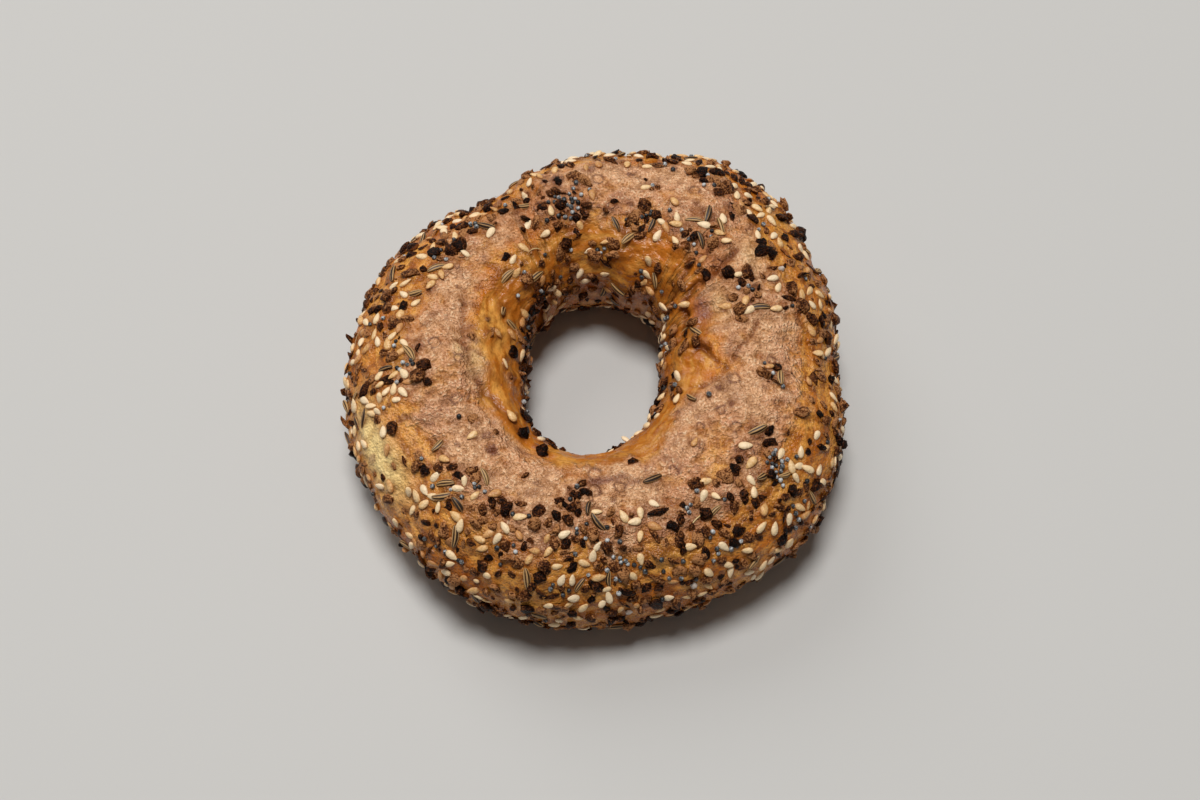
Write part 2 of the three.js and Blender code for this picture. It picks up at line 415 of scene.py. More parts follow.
# Patches on the crust: middle and reach, in degrees round the ring and round the rope, and strength.
# The underbaked patch on the left comes first, then paler streaks.
PALE_PATCHES = (
    (206, 34, 13, 14, 1.3), (189, 109, 9, 6, 0.45), (19, 101, 7, 7, 0.3), (33, 74, 6, 6, 0.2),
    (182, 98, 8, 3, 0.3),
)
# Darker patches in the contact colour: brown marks, and the last, on the front rim by the hole, painted
# shade.
BROWNED_AND_SHADED_PATCHES = (
    (357, 114, 7, 7, 0.8), (8, 150, 12, 9, 0.6), (39, 142, 6, 12, 0.3), (168, 112, 8, 8, 0.3),
    (178, 116, 3, 3, 0.6), (230, 95, 1.4, 2, 1.5), (272, 99, 6, 1.5, 0.55),
    (283, 93.5, 3, 1.2, 0.8), (284, 121, 28, 9, 0.55),
)
# The purplish blister in the right fold comes first, then smaller ones.
BRUISES = (
    (21, 116, 7, 7, 1.3), (16.5, 125.5, 2, 2.5, 1.2), (230, 95, 1.8, 2.6, 1.6),
    (272, 99, 7, 2.4, 1.1), (282, 93, 3, 1.6, 0.5), (212, 89, 3, 3, 0.35), (335, 92, 5, 4, 0.3),
    (287, 79, 6, 4, 0.2),
)
BARE_PATCHES = PALE_PATCHES[:1] + BRUISES[:1]  # nothing stuck to these two
# How much darker the hole's wall is painted, every 30 degrees: painted shade in the hole.
HOLE_WALL_SHADE = (0.5, 0.12, 0.05, 0.0, 0.1, 0.3, 0.4, 0.4, 0.4, 0.6, 0.6, 0.55)
HOLE_WALL_SHADE_RISE = (100, 165)  # degrees round the rope over which that painted shade sets in
# How much darker the underside browned, and how much painted shade lies in the creases.
UNDERSIDE_BAKE, CREASE_SHADE = 0.6, 0.45
UNDERSIDE_BAKE_RISE = (1.0, 9.0)  # mm above the table over which the underside's browning ends
CREASE_SHADE_REACH = 0.7  # a share of the crease's half width
LINE_DARKENING = 1.6  # how much darker a fine line is drawn for each mm of its depth
# The stretched inner side is smoother than the rest: where, and by how much.
SMOOTH_SIDE = ((100, 118), (190, 215))
SMOOTHING = 0.75

# Where the toppings stuck. Degrees round the rope below which the outside is covered, every 15
# degrees round the ring.
COVER_TOP = (46, 62, 66, 74, 66, 56, 60, 74, 76, 70, 70, 66,
             66, 50, 60, 76, 80, 84, 80, 76, 78, 76, 62, 56)
COVER_TOP_FADE = (10, 6)  # degrees below and above it
# How thickly the hole's wall is covered, every 30 degrees.
HOLE_COVER = (0.2, 0.2, 0.3, 0.45, 0.3, 0.15, 0.1, 0.12, 0.15, 0.06, 0.06, 0.12)
HOLE_COVER_RISE = (112, 132)  # degrees round the rope over which the cover sets in
LOWER_WALL_COVER = 0.9
LOWER_WALL_RISE = (150, 166)
CROWN_COVER = 0.05
UNDERSIDE_COVER = 0.22
UNDERSIDE_COVER_RISE = (1.0, 3.0)  # mm above the table over which the underside's cover ends

# Clumps that stuck together: degrees round the ring and the rope, reach in mm the same ways, and how
# many flakes, sesame seeds, poppy seeds and caraway seeds each holds.
CLUMPS = (
    (20, 84, 8, 3.5, 12, 3, 3, 1),
    (14, 60, 3, 2.5, 4, 0, 1, 0),
    (22, 68, 2, 1.2, 1, 2, 0, 0),
    (40, 105, 3, 2, 4, 1, 1, 0),
    (51, 103, 4.5, 2.5, 7, 2, 4, 1),
    (47, 92, 4, 3, 3, 4, 2, 3),
    (61, 104, 2.5, 2.5, 1, 4, 1, 0),
    (71, 100, 5.5, 2.5, 11, 1, 4, 1),
    (77, 110, 3, 1.5, 3, 0, 1, 2),
    (73, 75, 2.5, 2, 3, 1, 1, 0),
    (59, 65, 4, 3.5, 10, 0, 4, 0),
    (101, 92, 7, 5, 22, 4, 22, 0),
    (118, 85, 2, 1.5, 2, 1, 0, 0),
    (88, 138, 4, 3, 6, 1, 3, 0),
    (63, 150, 3, 4, 4, 4, 2, 1),
    (106, 127, 3, 2, 5, 0, 1, 0),
    (132, 65, 4, 3, 8, 2, 5, 1),
    (145, 67, 5, 4, 8, 1, 3, 1),
    (153, 72, 2, 2, 0, 2, 0, 0),
    (130, 124, 3, 3, 3, 1, 1, 1),
    (189, 68, 4, 5, 7, 4, 6, 2),
    (178, 60, 3, 2.5, 2, 4, 2, 0),
    (192, 58, 3, 2.5, 1, 5, 1, 0),
    (228, 62, 4, 3, 4, 1, 3, 3),
    (234, 75, 3, 2, 2, 2, 4, 1),
    (262, 85, 4.5, 5, 13, 0, 2, 1),
    (246, 71, 5, 2, 8, 1, 1, 0),
    (267, 68, 5, 3, 8, 1, 6, 1),
    (278, 44, 6, 5, 13, 3, 10, 1),
    (296, 69, 4, 3, 6, 0, 3, 0),
    (303, 76, 3, 2, 3, 2, 1, 0),
    (307, 61, 3, 2, 5, 0, 1, 0),
    (318, 72, 2.5, 2, 3, 1, 0, 0),
    (323, 58, 4, 5, 7, 2, 16, 2),
    (349, 73, 4, 3, 6, 1, 3, 1),
    (336, 138, 5, 3, 5, 1, 1, 0),
    (16.5, 125.5, 0.3, 0.3, 1, 0, 0, 0),
    (48, 30, 6, 5, 2, 7, 1, 0),
    (70, 28, 6, 5, 2, 6, 1, 0),
    (92, 30, 6, 5, 3, 6, 1, 0),
    (112, 26, 6, 5, 3, 5, 1, 1),
    (135, 34, 5, 5, 2, 7, 1, 0),
    (172, 38, 5, 5, 3, 6, 1, 0),
    (196, 52, 4, 4, 2, 5, 1, 0),
    (248, 48, 7, 5, 7, 6, 4, 1),
    (262, 30, 7, 6, 9, 6, 4, 1),
    (287, 28, 7, 6, 9, 5, 4, 0),
    (40, 60, 6, 5, 3, 6, 2, 0),
    (300, 34, 7, 5, 8, 3, 6, 0),
    (320, 30, 7, 5, 12, 3, 4, 1),
    (272, 36, 6, 4, 9, 2, 4, 0),
    (235, 30, 7, 5, 12, 3, 4, 0),
    (128, 148, 4, 3.5, 10, 1, 3, 0),
    (142, 160, 5, 3, 9, 1, 3, 0),
    (160, 166, 5, 3, 8, 1, 2, 0),
    (118, 152, 4, 3, 6, 2, 1, 0),
    (182, 166, 6, 3, 9, 1, 3, 0),
    (200, 168, 5, 3, 8, 1, 3, 0),
    (218, 164, 5, 3, 8, 2, 3, 0),
    (238, 156, 5, 3, 5, 3, 1, 0),
    (316, 152, 4, 3, 4, 1, 1, 0),
    (340, 162, 6, 3, 8, 1, 2, 0),
    (2, 166, 6, 3, 10, 2, 3, 0),
    (20, 164, 5, 3, 7, 2, 2, 0),
)
CLUMP_KINDS = ("flake", "sesame", "poppy", "caraway")
# Strewn singly over the whole bagel, besides the clumps, in the order in which they are laid.
STREWN = {"flake": 1350, "caraway": 100, "sesame": 620, "salt": 9, "thread": 14, "poppy": 80}
# Half of the room that a topping takes up, as a share of its length.
ROOM = {"flake": 0.3, "caraway": 0.24, "sesame": 0.32, "salt": 0.42, "thread": 0.1, "poppy": 0.45}
FLAKE_GROWTH = (0.3, 1.5, 0.85)  # smallest, largest and commonest, against the typical length
SEED_GROWTH = (0.85, 1.15)
CLUMP_TRIES = 30
CLUMP_SPREAD = (0.3, 1.1)  # from the first try to the last, against the clump's reach
POPPY_GATHERING = 0.55  # how much closer the poppy seeds of a clump lie together than the rest
STREWN_TRIES = 40
CUBE = 4.0  # mm, larger than the room of two toppings


def patches(ring, rope, places):
    """How strongly the patches lie at each place."""
    ring_angle, rope_angle = np.degrees(np.mod(ring, math.tau)), degrees_round_rope(rope)
    return sum(strength * np.exp(-((ring_angle - ring_middle) / ring_reach) ** 2
                                 - ((rope_angle - rope_middle) / rope_reach) ** 2)
               for ring_middle, rope_middle, ring_reach, rope_reach, strength in places)


def cover(ring, rope):
    """How thickly the toppings stuck at each place, from 0 to 1."""
    angle = degrees_round_rope(rope)
    top = along_ring(COVER_TOP, ring)
    below, above = COVER_TOP_FADE
    outside = 1 - smoothstep(top - below, top + above, angle)
    wall = along_ring(HOLE_COVER, ring) * smoothstep(*HOLE_COVER_RISE, angle)
    lower_wall = LOWER_WALL_COVER * smoothstep(*LOWER_WALL_RISE, angle)
    covered = np.maximum.reduce([np.full_like(angle, CROWN_COVER), outside, wall, lower_wall])
    side = smoothstep(*UNDERSIDE_COVER_RISE, rope_point(ring, rope)[:, 2])
    covered = covered * side + UNDERSIDE_COVER * (1 - side)
    return covered * (1 - patches(ring, rope, BARE_PATCHES))


class Bed:
    """The toppings laid so far, sorted into cubes so that near ones are found quickly."""

    def __init__(self):
        self.cubes = {}

    def has_room(self, point, room):
        """Whether a topping at the point would cross none of those laid."""
        x, y, z = (math.floor(c / CUBE) for c in point)
        near = itertools.product((x - 1, x, x + 1), (y - 1, y, y + 1), (z - 1, z, z + 1))
        return all(math.dist(point, other) > room + taken
                   for cube in near for other, taken in self.cubes.get(cube, ()))

    def lay(self, point, room):
        """Notes that a topping takes up the room at the point."""
        cube = tuple(math.floor(c / CUBE) for c in point)
        self.cubes.setdefault(cube, []).append((tuple(point), room))

    def lay_first_free(self, ring, rope, room):
        """Lays one topping at the first place with room for it, and returns that place."""
        for ring_angle, rope_angle, point in zip(ring, rope, rope_point(ring, rope)):
            if self.has_room(point, room):
                self.lay(point, room)
                return ring_angle, rope_angle
        return None


def topping_lengths(settings):
    """The length in mm of each kind of topping, in the order in which they are laid."""
    return tuple((kind, getattr(settings, kind + "_length") / MM) for kind in STREWN)


def grown(kind, chance):
    """How much larger than usual one topping is."""
    return chance.triangular(*FLAKE_GROWTH) if kind == "flake" else chance.uniform(*SEED_GROWTH)


@functools.lru_cache
def lay_out(draw, lengths):
    """Where every topping lies, as a list of (ring, rope, growth) for each kind.

    They are packed without crossing, the clumps first and then what is strewn singly.
    """
    chance = random.Random(draw)
    spread = np.random.default_rng(draw)
    length = dict(lengths)
    places = {kind: [] for kind in STREWN}
    bed = Bed()
    for ring, rope, ring_reach, rope_reach, *counts in CLUMPS:
        members = [kind for kind, count in zip(CLUMP_KINDS, counts) for _ in range(count)]
        chance.shuffle(members)
        for kind in members:
            growth = grown(kind, chance)
            way = spread.normal(size=(2, CLUMP_TRIES)) * np.linspace(*CLUMP_SPREAD, CLUMP_TRIES)
            way *= POPPY_GATHERING if kind == "poppy" else 1
            place = bed.lay_first_free(np.radians(ring) + way[0] * ring_reach / RING_RADIUS,
                                       np.radians(rope) + way[1] * rope_reach / ROPE_RADIUS,
                                       ROOM[kind] * growth * length[kind])
            if place:
                places[kind].append((*place, growth))
    for kind, count in STREWN.items():
        tries = spread.random((4, count * STREWN_TRIES))
        ring, rope = math.tau * tries[0], math.tau * tries[1]
        wide = (RING_RADIUS + ROPE_RADIUS * np.cos(rope)) / (RING_RADIUS + ROPE_RADIUS)
        kept = (tries[2] < cover(ring, rope)) & (tries[3] < wide)
        ring, rope = ring[kept], rope[kept]
        laid = 0
        for ring_angle, rope_angle, point in zip(ring, rope, rope_point(ring, rope)):
            growth = grown(kind, chance)
            room = ROOM[kind] * growth * length[kind]
            if laid < count and bed.has_room(point, room):
                bed.lay(point, room)
                places[kind].append((ring_angle, rope_angle, growth))
                laid += 1
    return places


# ---- the crust -----------------------------------------------------------------------------------

# How high the dough swells round a topping, as a share of its length.
BEDDING = {"flake": 0.15, "sesame": 0.13, "caraway": 0.06, "poppy": 0.14, "salt": 0.1, "thread": 0.0}
BEDDING_REACH = (0.42, 0.35)  # a share of the topping's length, and mm on top of it
BEDDING_EDGE = 2.2  # times that reach, past which the dough lies as it would
CONTACT_REACH = (0.42, 0.3)  # how far the crust is darker round a topping, in the same way: browning with painted contact shade

# The crust's patterns have names, and those that a colour follows run from 0 to 1.
# Noises: size of their features in mm, and detail. The grain is drawn coarser than the real pores,
# which wouldn't show.
NOISES = (("clouds", 10, 3.0), ("blots", 4.5, 4.0), ("mottle", 2.4, 3.0), ("grain", 0.6, 3.0))
# Streaks in mm. They run along the rope, and across it where the skin is pulled.
STREAK_LENGTH, STREAK_WIDTH = 8.0, 1.7
WOBBLE_SIZE, WOBBLE_REACH = 1.8, 1.6  # mm, how the outlines of marks and blisters stray
BLISTER_SIZE = 0.95  # mm, drawn at about twice the size of the real blisters so that they show
# Round marks: whether their outline strays, the size of their cells in mm, the share of the cells
# that has one, and their profile of (distance from the cell's middle, strength).
MARKS = (
    ("rings", True, 4.5, 0.5, ((0.18, 0), (0.25, 1), (0.29, 1), (0.38, 0))),
    ("chips", True, 6.0, 0.3, ((0.14, 1), (0.24, 0))),
    ("specks", False, 1.9, 0.35, ((0.05, 1), (0.1, 0.6), (0.22, 0))),
)
MARK_SHRINK = (0.9, 0.75)  # a mark's size is divided by the second number plus up to the first
# One pattern times a number, plus another pattern.
SUMS = (
    ("side_tone", "clouds", 0.7, "streaks"),
    ("patchy", "clouds", 1.3, "matte"),
    ("patchy", "mottle", 1.1, "patchy"),
    ("patchy", "blots", 1.9, "patchy"),
)
# Rises from 0 to 1 where another pattern goes from the first number to the second.
RISES = (
    ("skin", "patchy", 2.38, 3.3),
    ("tan", "clouds", 0.34, 0.66),
    ("rugged", "clouds", 0.6, 0.42),
    ("amber", "side_tone", 0.64, 1.02),
    ("blotches", "blots", 0.57, 0.66),
    # where the mottle rises the painted glints lie
    ("glint_rises", "mottle", 0.42, 0.62),
    ("dark", "mottle", 0.48, 0.36),
    ("flecks", "grain", 0.54, 0.64),
    ("pits", "grain", 0.47, 0.37),
    ("broken", "grain", 0.36, 0.54),
    ("golden", "streaks", 0.4, 0.56),
    ("furrows", "streaks", 0.47, 0.39),
    ("domes", "edges", 0.0, 0.22),
    ("grooves", "edges", 0.16, 0.0),
)
# One pattern times another, which keeps it to where the other lies.
PRODUCTS = (
    ("rings", "rings", "broken"),
    ("rings", "rings", "skin"),
    ("flecks", "flecks", "glint_rises"),
    ("blotches", "blotches", "broken"),
    ("mark", "bruise", "broken"),
    ("golden", "golden", "pulled"),
    ("furrows", "furrows", "pulled"),
    ("side_pits", "pits", "bumpy"),
    ("rough_mottle", "mottle", "bumpy"),
    ("rough_grain", "grain", "bumpy"),
    ("skin_mottle", "mottle", "skin"),
    ("rugged_mottle", "skin_mottle", "rugged"),
    ("skin_domes", "domes", "skin"),
)
# Relief too fine for the mesh: pattern and height in mm.
CRUST_RELIEF = (
    ("skin_domes", 0.14), ("skin_mottle", 0.45), ("rugged_mottle", 0.6), ("rough_mottle", 0.8),
    ("rough_grain", 0.3), ("grain", 0.09), ("streaks", 0.28), ("rings", 0.2), ("chips", 0.15),
    ("golden", 0.2), ("furrows", -0.3),
)
# Colours laid over one another: the pattern that each follows, how strongly, and which colour.
# On the crown the grooves and pits are painted shade in the hollows of its relief, and the flecks are
# painted glints on its rises.
CROWN_LAYERS = (
    ("tan", 1.0, "crown_tan"), ("blotches", 0.5, "scorch"), ("grooves", 0.34, "groove"),
    ("flecks", 0.78, "painted_glint"), ("pits", 0.5, "groove"),
)
# On the sides the dark mottle is brown blotches with painted shade in the hollows of the relief, and the
# pits are painted shade.
SIDE_LAYERS = (
    ("amber", 1.0, "side_amber"), ("dark", 0.4, "deep_brown"), ("side_pits", 0.4, "deep_brown"),
    ("browned_and_shaded", 1.0, "deep_brown"),
)
# Over the skin: the fold's furrows are painted shade, and round the toppings the contact colour is
# browning with painted contact shade.
SKIN_LAYERS = (
    ("skin", 0.94, "crown"), ("golden", 0.5, "side_amber"), ("furrows", 0.45, "contact"),
    ("pale", 1.0, "pale_dough"), ("bruise", 0.45, "bruise"), ("mark", 0.4, "bruise"),
    ("rings", 0.8, "scorch"), ("chips", 0.6, "scorch"), ("specks", 0.75, "scorch"),
    ("near", 0.6, "contact"), ("line", 0.8, "contact"),
)
# Painted shade in the hollows and painted light on the rises: stops along the mottle, which is also the
# relief, that the colour is multiplied by where the crust is bumpy.
RELIEF_SHADE_AND_LIGHT = ((0.37, (0.77, 0.69, 0.6)), (0.5, (1.04, 1.02, 1.0)), (0.62, (1.15, 1.14, 1.13)))
GLOSSY_ROUGHNESS, MATTE_ROUGHNESS = 0.25, 0.33
DARKENED_ROUGHNESS = 0.25  # added where the crust is darkest: browned underneath, painted shade on the hole's wall and creases


def spots(tree, place, size, share, profile):
    """A mask of round spots of uneven size in a share of the cells of the given size in mm."""
    cells = add_node(tree, "ShaderNodeTexVoronoi", {"Vector": place, "Scale": 1 / (size * MM)})
    chosen = add_node(tree, "ShaderNodeSeparateColor", {"Color": cells.outputs["Color"]})
    here = add_node(tree, "ShaderNodeMath", {
        0: chosen.outputs["Red"], 1: share}, operation="LESS_THAN")
    more, least = MARK_SHRINK
    shrink = add_node(tree, "ShaderNodeMath", {
        0: chosen.outputs["Green"], 1: more, 2: least}, operation="MULTIPLY_ADD")
    spread = add_node(tree, "ShaderNodeMath", {
        0: cells.outputs["Distance"], 1: shrink.outputs[0]}, operation="MULTIPLY")
    shape = add_node(tree, "ShaderNodeValToRGB", {"Fac": spread.outputs[0]})
    set_ramp(shape, [(distance, (strength,) * 3) for distance, strength in profile])
    return add_node(tree, "ShaderNodeMath", {
        0: shape.outputs["Color"], 1: here.outputs[0]}, operation="MULTIPLY").outputs[0]


def stretched_noise(tree, turn, turn_w, along, across):
    """Noise with features of the given lengths in mm along and across the rope."""
    sizes = (RING_RADIUS / along, RING_RADIUS / along, ROPE_RADIUS / across)
    vector = add_node(tree, "ShaderNodeVectorMath", {0: turn, 1: sizes}, operation="MULTIPLY")
    fourth = add_node(tree, "ShaderNodeMath", {
        0: turn_w, 1: ROPE_RADIUS / across}, operation="MULTIPLY")
    return add_node(tree, "ShaderNodeTexNoise", {
        "Vector": vector.outputs["Vector"], "W": fourth.outputs[0], "Scale": 1.0, "Detail": 4.0},
        noise_dimensions="4D").outputs["Fac"]


def crust_patterns(tree):
    """The patterns that the crust's colour and relief are made of, by name."""
    place = add_node(tree, "ShaderNodeTexCoord").outputs["Object"]
    turn = add_node(tree, "ShaderNodeAttribute", attribute_name="turn").outputs["Vector"]
    turn_w = add_node(tree, "ShaderNodeAttribute", attribute_name="turn_w").outputs["Fac"]
    found = {name: add_node(tree, "ShaderNodeAttribute", attribute_name=name).outputs["Fac"]
             for name in ("matte", "browned_and_shaded", "pale", "bruise", "pulled", "near", "line", "bumpy")}
    for name, size, detail in NOISES:
        found[name] = add_node(tree, "ShaderNodeTexNoise", {
            "Vector": place, "Scale": 1 / (size * MM), "Detail": detail}).outputs["Fac"]
    found["streaks"] = add_node(tree, "ShaderNodeMix", {
        0: found["pulled"],
        2: stretched_noise(tree, turn, turn_w, STREAK_LENGTH, STREAK_WIDTH),
        3: stretched_noise(tree, turn, turn_w, STREAK_WIDTH, STREAK_LENGTH)}).outputs[0]
    wobble = add_node(tree, "ShaderNodeTexNoise", {
        "Vector": place, "Scale": 1 / (WOBBLE_SIZE * MM), "Detail": 2.0})
    wobbly = add_node(tree, "ShaderNodeVectorMath", {
        0: wobble.outputs["Color"], 1: (WOBBLE_REACH * MM,) * 3, 2: place},
        operation="MULTIPLY_ADD").outputs["Vector"]
    found["edges"] = add_node(tree, "ShaderNodeTexVoronoi", {
        "Vector": wobbly, "Scale": 1 / (BLISTER_SIZE * MM)},
        feature="DISTANCE_TO_EDGE").outputs["Distance"]
    for name, first, factor, second in SUMS:
        found[name] = add_node(tree, "ShaderNodeMath", {
            0: found[first], 1: factor, 2: found[second]}, operation="MULTIPLY_ADD").outputs[0]
    for name, other, low, high in RISES:
        found[name] = add_node(tree, "ShaderNodeMapRange", {
            "Value": found[other], "From Min": low, "From Max": high},
            interpolation_type="SMOOTHSTEP").outputs[0]
    for name, strays, size, share, profile in MARKS:
        found[name] = spots(tree, wobbly if strays else place, size, share, profile)
    for name, first, second in PRODUCTS:
        found[name] = add_node(tree, "ShaderNodeMath", {
            0: found[first], 1: found[second]}, operation="MULTIPLY").outputs[0]
    return found


def layered(tree, colour, layers, found, paint):
    """A colour with others laid over it, each as (pattern, strength, colour)."""
    for pattern, strength, over in layers:
        share = add_node(tree, "ShaderNodeMath", {
            0: found[pattern], 1: strength}, operation="MULTIPLY").outputs[0]
        colour = add_node(tree, "ShaderNodeMix", {
            0: share, 6: colour, 7: paint[over]}, data_type="RGBA").outputs[2]
    return colour


def crust_colour(tree, found, settings):
    """The crown's dry skin over the glazed sides, with their marks and painted light and shade on their
    relief.
    """
    paint = {name: rgba(getattr(settings, name)) for name in (
        "crown_tan", "crown_rose", "side_honey", "side_amber", "deep_brown", "groove", "painted_glint",
        "contact", "pale_dough", "bruise", "scorch")}
    paint["crown"] = layered(tree, paint["crown_rose"], CROWN_LAYERS, found, paint)
    side = layered(tree, paint["side_honey"], SIDE_LAYERS, found, paint)
    skin = layered(tree, side, SKIN_LAYERS, found, paint)
    ramp = add_node(tree, "ShaderNodeValToRGB", {"Fac": found["mottle"]})
    set_ramp(ramp, RELIEF_SHADE_AND_LIGHT)
    return add_node(tree, "ShaderNodeMix", {
        0: found["bumpy"], 6: skin, 7: ramp.outputs["Color"]},
        data_type="RGBA", blend_type="MULTIPLY").outputs[2]


def crust_material(settings):
    """Baked bread crust: dried matte skin with fine blisters on the crown, glazed amber on the sides.

    The matte skin scatters light and looks dusty. The sides shine like varnish, because steam
    turned their starch to a film before they browned.
    """
    material, tree = new_material("baked_bread_crust")
    found = crust_patterns(tree)
    relief = 0.0
    for pattern, height in CRUST_RELIEF:
        relief = add_node(tree, "ShaderNodeMath", {
            0: found[pattern], 1: height, 2: relief}, operation="MULTIPLY_ADD").outputs[0]
    bump = add_node(tree, "ShaderNodeBump", {"Height": relief, "Strength": 1.0, "Distance": MM})
    unbaked = add_node(tree, "ShaderNodeMapRange", {
        "Value": found["skin"], "To Min": GLOSSY_ROUGHNESS, "To Max": MATTE_ROUGHNESS}).outputs[0]
    roughness = add_node(tree, "ShaderNodeMath", {
        0: found["browned_and_shaded"], 1: DARKENED_ROUGHNESS, 2: unbaked}, operation="MULTIPLY_ADD").outputs[0]
    shader = add_node(tree, "ShaderNodeBsdfPrincipled", {
        "Base Color": crust_colour(tree, found, settings), "Roughness": roughness,
        "Normal": bump.outputs[0], "IOR": DRY_IOR})
    finish_material(tree, shader)
    return material


def crowded(rope):
    """Angles round the rope, moved closer together on the crown and apart underneath."""
    from_crown = np.mod(rope + math.pi / 2, math.tau) - math.pi
    return math.pi / 2 + from_crown - CROWDING * np.sin(from_crown)


def crust_mesh(settings, toppings):
    """A plain ring spun from a circle, then shaped into the uneven, creased dough."""
    form = bmesh.new()
    upright = Matrix.Translation((RING_RADIUS * MM, 0, 0)) @ Matrix.Rotation(math.pi / 2, 4, "X")
    bmesh.ops.create_circle(form, segments=settings.rope_steps, radius=ROPE_RADIUS * MM, matrix=upright)
    bmesh.ops.spin(form, geom=form.verts[:] + form.edges[:], cent=(0, 0, 0), axis=(0, 0, 1),
                   angle=math.tau, steps=settings.ring_steps, use_merge=True)
    bmesh.ops.recalc_face_normals(form, faces=form.faces)
    mesh = bpy.data.meshes.new("crust")
    form.to_mesh(mesh)
    form.free()

    spun = np.empty(len(mesh.vertices) * 3)
    mesh.vertices.foreach_get("co", spun)
    x, y, z = spun.reshape(-1, 3).T / MM
    ring = np.arctan2(y, x)
    rope = crowded(np.arctan2(z, np.hypot(x, y) - RING_RADIUS))
    bare = rope_point(ring, rope)
    swell, near = bedding(bare, toppings)
    lines = line_depths(bare)
    points = crust_point(ring, rope, swell - lines)
    mesh.vertices.foreach_set("co", (points * MM).ravel())
    mesh.shade_smooth()
    paint_crust(mesh, points, ring, rope)
    # Darker round each topping, browning with painted contact shade, and in the browned patches.
    store(mesh, "near", np.maximum(near, patches(ring, rope, BROWNED_AND_SHADED_PATCHES)))
    store(mesh, "line", np.minimum(1, LINE_DARKENING * lines))
    return mesh


def bedding(points, settings):
    """How far the dough swells round its toppings in mm, and how close each point is to one."""
    tree = kdtree.KDTree(len(points))
    for index, point in enumerate(points):
        tree.insert(point, index)
    tree.balance()
    swell, near = np.zeros(len(points)), np.zeros(len(points))
    lengths = topping_lengths(settings)
    for kind, places in lay_out(settings.draw, lengths).items():
        ring, rope, growth = np.array(places).T
        sizes = growth * dict(lengths)[kind]
        for middle, size in zip(rope_point(ring, rope), sizes):
            reach, contact = (share * size + more for share, more in (BEDDING_REACH, CONTACT_REACH))
            for _, index, distance in tree.find_range(middle, BEDDING_EDGE * reach):
                swell[index] += (BEDDING[kind] * size * math.exp(-(distance / reach) ** 2)) ** 2
                near[index] = max(near[index], math.exp(-(distance / contact) ** 4))
    return np.sqrt(swell), near


def paint_crust(mesh, points, ring, rope):
    """Stores where the crust is matte, darker (browned underneath, painted shade on the hole's wall and
    in the creases), pale, bruised and pulled.
    """
    angle = degrees_round_rope(rope)
    hole_wall = along_ring(HOLE_WALL_SHADE, ring) * smoothstep(*HOLE_WALL_SHADE_RISE, angle)
    underside = UNDERSIDE_BAKE * (1 - smoothstep(*UNDERSIDE_BAKE_RISE, points[:, 2]))
    creases = CREASE_SHADE * sum(
        np.exp(-(distance_to_line(points, stops) / (CREASE_SHADE_REACH * width)) ** 2)
        for stops, _, width in CREASES)
    store(mesh, "matte", matte_share(ring, rope))
    # The underside's real browning, with painted shade on the hole's wall and in the creases.
    store(mesh, "browned_and_shaded", np.clip(hole_wall + underside + creases, 0, 1))
    store(mesh, "bumpy", 1 - SMOOTHING * band(angle, *SMOOTH_SIDE))
    store(mesh, "pale", patches(ring, rope, PALE_PATCHES))
    store(mesh, "bruise", np.minimum(1, patches(ring, rope, BRUISES)))
    store(mesh, "pulled", pulled_share(points))
    store(mesh, "turn_w", np.sin(rope))
    turn = mesh.attributes.new("turn", "FLOAT_VECTOR", "POINT")
    turn.data.foreach_set("vector", np.stack([np.cos(ring), np.sin(ring), np.cos(rope)], -1).ravel())


class BAGEL_OT_crust(bpy.types.Operator):
    """Bake the bagel's crust"""
    bl_idname = "bagel.crust"
    bl_label = "Crust"

    def execute(self, context):
        settings = context.scene.bagel_crust
        mesh = crust_mesh(settings, context.scene.bagel_toppings)
        add_piece("crust", mesh, crust_material(settings))
        return {"FINISHED"}


# ---- the toppings --------------------------------------------------------------------------------

HIGHEST = 36.5  # mm above the table that a topping reaches
STANDING_SHARE, STANDING_LEAN = 0.06, 3  # this share of the toppings leans so many times as far
# The dough's glaze on a topping: the heights in mm above the crust where it is thickest and where it
# ends, and how much it hides at its thickest.
FILM_FOOT, FILM_TOP, FILM_SHARE = 0.1, 0.5, 0.75

# The forms lie along X and are about one long, and their measures are against that length.
SEED_ROWS, SESAME_SIDES, CARAWAY_SIDES, THREAD_SIDES = 7, 10, 20, 5  # faces along and round a seed
TIP_SHARPNESS = 1.5  # the higher, the later along a seed its taper sets in
SESAME_WIDTH, SESAME_THICKNESS, SESAME_TAPER = (0.6, 0.75), 0.38, (0.45, 0.65)
SESAME_TIP_SHADE = 0.3
CARAWAY_WIDTH, CARAWAY_THICKNESS, CARAWAY_TAPER = 0.32, 0.24, 0.1
CARAWAY_RIBS, CARAWAY_RIB_HEIGHT, CARAWAY_BOW = 5, 0.14, (0.1, 0.4)
THREAD_WIDTH, THREAD_THICKNESS, THREAD_TAPER = 0.07, 0.05, 0.3
THREAD_BOW, THREAD_RISE = (0.3, 1.2), (-0.5, 0.3)
POPPY_DENTS, POPPY_DENT_DEPTH, POPPY_SPECKLES = 4, 0.16, 5  # dents and speckles across a seed
NUGGET_RADIUS, NUGGET_WIDTH, NUGGET_THICKNESS = 0.52, (0.62, 0.92), (0.45, 0.62)
CHIP_RADIUS, CHIP_WIDTH, CHIP_THICKNESS, CHIP_CURL = 0.6, (0.55, 0.8), 0.17, (-0.45, 0.12)
SHAVING_RADIUS, SHAVING_WIDTH, SHAVING_THICKNESS, SHAVING_CURL = 0.75, (0.26, 0.4), 0.13, (-0.5, 0.15)
FLAKE_DENT_DEPTH, SHAVING_DENT_DEPTH = 0.5, 0.3
COARSE_DENTS, FINE_DENTS = 2.2, 5.5  # across a flake
